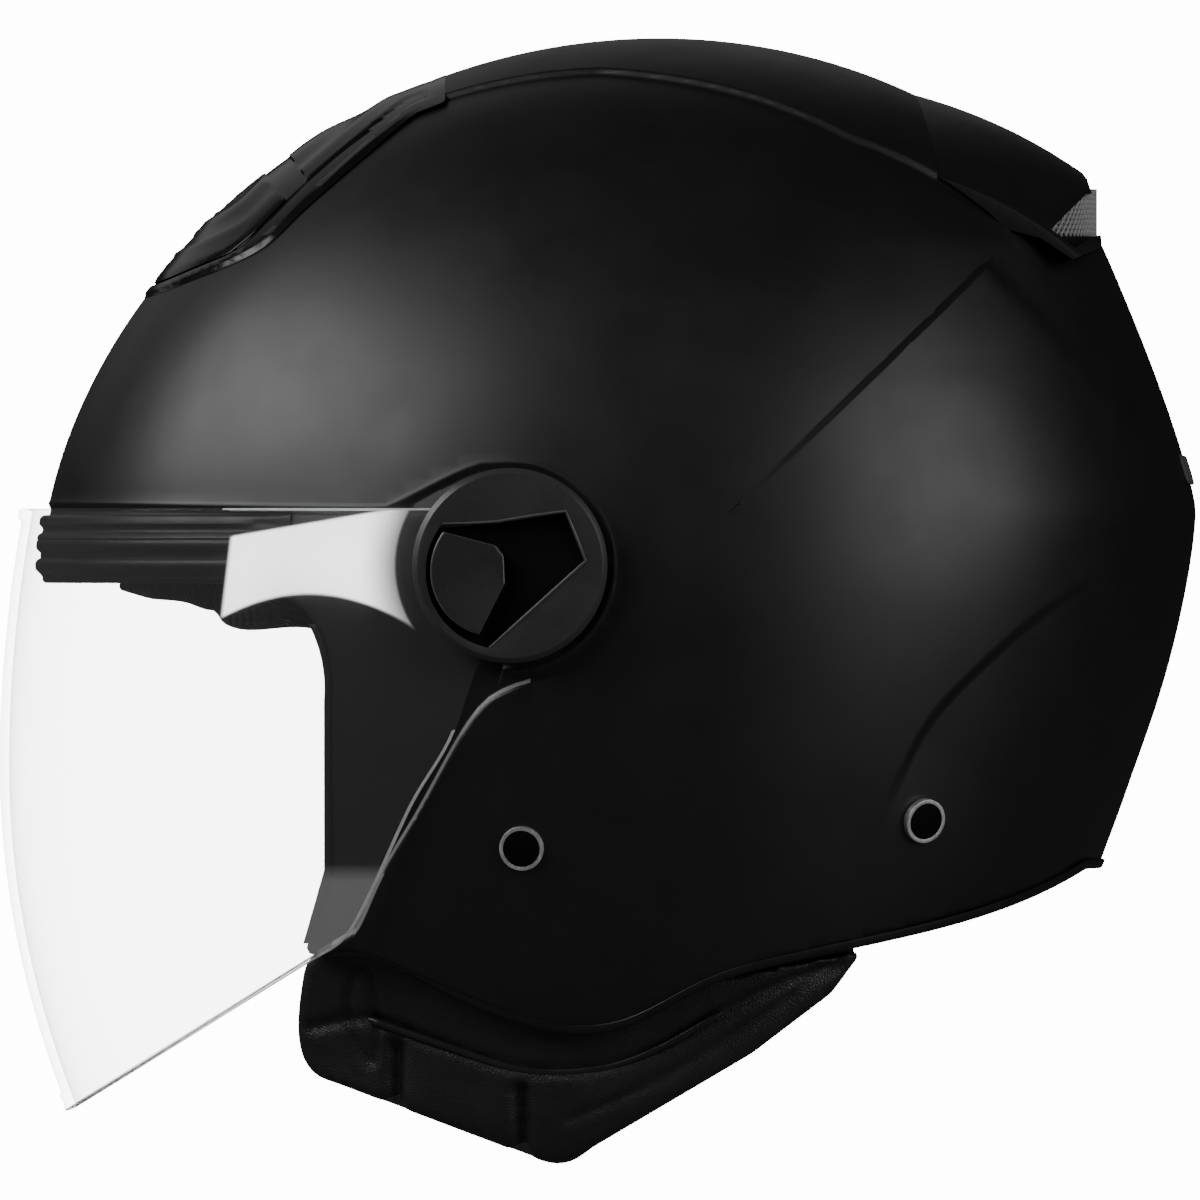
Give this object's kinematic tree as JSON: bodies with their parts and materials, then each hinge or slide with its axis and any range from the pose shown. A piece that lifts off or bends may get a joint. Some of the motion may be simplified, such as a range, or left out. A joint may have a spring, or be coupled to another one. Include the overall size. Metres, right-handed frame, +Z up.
{
  "type": "open face motorcycle helmet",
  "caption": "Open face motorcycle helmet with a long clear swing-up visor, top and rear vents, padded lining and a ratchet-buckled chin strap.",
  "frame": {"origin": "middle of the head space, on the visor's pivot axis height and the middle plane; the helmet is in its worn pose", "axes": "-X towards the face, -Y to the wearer's left, +Z up to the crown"},
  "size_m": [0.2871, 0.2568, 0.2692],
  "materials": {
    "shell_paint": "matte black paint over a moulded composite shell",
    "vent_gloss": "polished black moulded plastic",
    "trim_rubber": "black extruded rubber",
    "vent_grey": "grey moulded mesh",
    "plaque_grey": "blank grey plaque",
    "foam": "black expanded foam beads",
    "lining": "black brushed lining fabric",
    "leatherette": "black padded leatherette",
    "webbing": "black woven webbing",
    "visor_clear": "clear moulded visor",
    "chrome": "bright chrome",
    "steel": "zinc plated steel",
    "pivot_plastic": "black moulded plastic",
    "tab_plastic": "black moulded plastic, semi gloss",
    "buckle_plastic": "black glass-filled plastic"
  },
  "bodies": {
    "helmet": {"outer_shell": "shell_paint", "edge_trim": "trim_rubber", "face_trim_left": "trim_rubber", "face_trim_right": "trim_rubber", "brow_trim": "trim_rubber", "rear_plaque": "plaque_grey", "top_vent_housing": "vent_gloss", "rear_vent_housing": "shell_paint", "rear_vent_mesh": "vent_grey", "eps_liner": "foam", "comfort_liner": "lining", "cheek_pad_left": "leatherette", "cheek_pad_right": "leatherette", "rear_strap_left": "webbing", "rear_strap_right": "webbing", "chin_strap_left": "webbing", "chin_strap_right": "webbing", "pad_studs": "tab_plastic", "neck_roll": "lining", "pivot_hub_left": "pivot_plastic", "pivot_hub_right": "pivot_plastic", "pivot_cover_left": "pivot_plastic", "pivot_cover_right": "pivot_plastic", "pivot_screws": "steel", "pivot_nuts": "steel", "strap_rivets": "chrome", "rivet_plugs": "tab_plastic", "anchor_plates": "steel", "buckle_frame": "steel", "buckle_pin": "steel", "ratchet_tongue": "buckle_plastic", "chin_pad": "lining"},
    "visor": {"visor": "visor_clear"},
    "vent_slider": {"vent_slider": "vent_gloss"},
    "release_tab_left": {"release_tab_left": "tab_plastic"},
    "release_tab_right": {"release_tab_right": "tab_plastic"},
    "buckle_lever": {"buckle_lever": "buckle_plastic"}
  },
  "joints": [
    {"name": "visor_hinge", "type": "hinge", "parent": "helmet", "child": "visor", "pos_m": [-0.0262, 0, 0], "axis": [0, 1, 0], "range_deg": [0, 44]},
    {"name": "vent_slide", "type": "slide", "parent": "helmet", "child": "vent_slider", "axis": [0.697, 0, 0.717], "range_m": [0, 0.006]},
    {"name": "tab_slide_left", "type": "slide", "parent": "helmet", "child": "release_tab_left", "axis": [1, 0, 0], "range_m": [0, 0.005], "stiffness_N_per_m": 300},
    {"name": "tab_slide_right", "type": "slide", "parent": "helmet", "child": "release_tab_right", "axis": [1, 0, 0], "range_m": [0, 0.005], "stiffness_N_per_m": 300},
    {"name": "buckle_hinge", "type": "hinge", "parent": "helmet", "child": "buckle_lever", "pos_m": [-0.03, -0.014, -0.1262], "axis": [-1, 0, 0], "range_deg": [0, 35], "stiffness_Nm_per_rad": 0.02, "springref_deg": -17.19}
  ]
}
